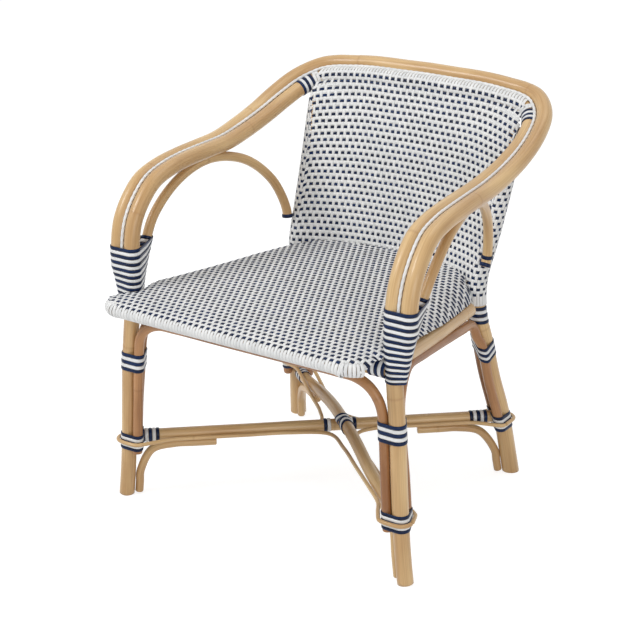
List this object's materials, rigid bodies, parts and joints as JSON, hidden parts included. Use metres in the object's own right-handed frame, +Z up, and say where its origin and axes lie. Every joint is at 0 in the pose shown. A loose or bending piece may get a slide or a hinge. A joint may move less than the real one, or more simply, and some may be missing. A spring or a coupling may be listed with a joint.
{
  "type": "rattan armchair",
  "caption": "Lounge bistro armchair of bent rattan poles with navy and white cane bindings, crossed stretchers and a woven white seat and back.",
  "frame": {"origin": "on the floor, under the middle of the chair's outline", "axes": "+Z up, -Y the way the sitter faces, +X the viewer's right when facing the chair (the sitter's left)"},
  "size_m": [0.6754, 0.704, 0.7901],
  "materials": {
    "rattan": "satin varnished rattan",
    "navy_cane": "satin navy cane strip",
    "white_cane": "satin white cane strip",
    "white_weave": "woven white strand with navy dots"
  },
  "bodies": {
    "root": {"outer_arm_and_top_rail_pole": "rattan", "piping_cord": "white_weave", "front_leg_and_arm_pole_right": "rattan", "back_leg_post_right": "rattan", "arm_arch_right": "rattan", "side_arch_right": "rattan", "front_leg_and_arm_pole_left": "rattan", "back_leg_post_left": "rattan", "arm_arch_left": "rattan", "side_arch_left": "rattan", "back_upper_pole": "rattan", "front_arch": "rattan", "back_arch": "rattan", "seat_front_rail": "rattan", "seat_back_rail": "rattan", "front_cross_rail": "rattan", "seat_side_rail_right": "rattan", "seat_side_rail_left": "rattan", "low_stretcher": "rattan", "high_stretcher": "rattan", "corner_brace_front_right": "rattan", "corner_brace_back_left": "rattan", "corner_brace_front_left": "rattan", "corner_brace_back_right": "rattan", "stretcher_rod_front": "rattan", "stretcher_rod_back": "rattan", "stretcher_rod_right": "rattan", "stretcher_rod_left": "rattan", "front_wrap_navy_right": "navy_cane", "front_wrap_white_right": "white_cane", "front_leg_tie_right": "navy_cane", "back_leg_wrap_right": "navy_cane", "low_tie_front_right": "navy_cane", "low_tie_back_right": "navy_cane", "chevron_tie_right": "navy_cane", "front_wrap_navy_left": "navy_cane", "front_wrap_white_left": "white_cane", "front_leg_tie_left": "navy_cane", "back_leg_wrap_left": "navy_cane", "low_tie_front_left": "navy_cane", "low_tie_back_left": "navy_cane", "chevron_tie_left": "navy_cane", "stretcher_wrap_front_left": "navy_cane", "stretcher_wrap_back_right": "navy_cane", "stretcher_wrap_front_right": "navy_cane", "stretcher_wrap_back_left": "navy_cane", "crossing_wrap": "navy_cane", "arm_arch_collar_front_right": "navy_cane", "arm_arch_collar_back_right": "navy_cane", "corner_wrap_right": "navy_cane", "cross_rail_wrap_right": "navy_cane", "arm_arch_collar_front_left": "navy_cane", "arm_arch_collar_back_left": "navy_cane", "corner_wrap_left": "navy_cane", "cross_rail_wrap_left": "navy_cane", "woven_seat": "white_weave", "woven_back": "white_weave"}
  },
  "joints": []
}
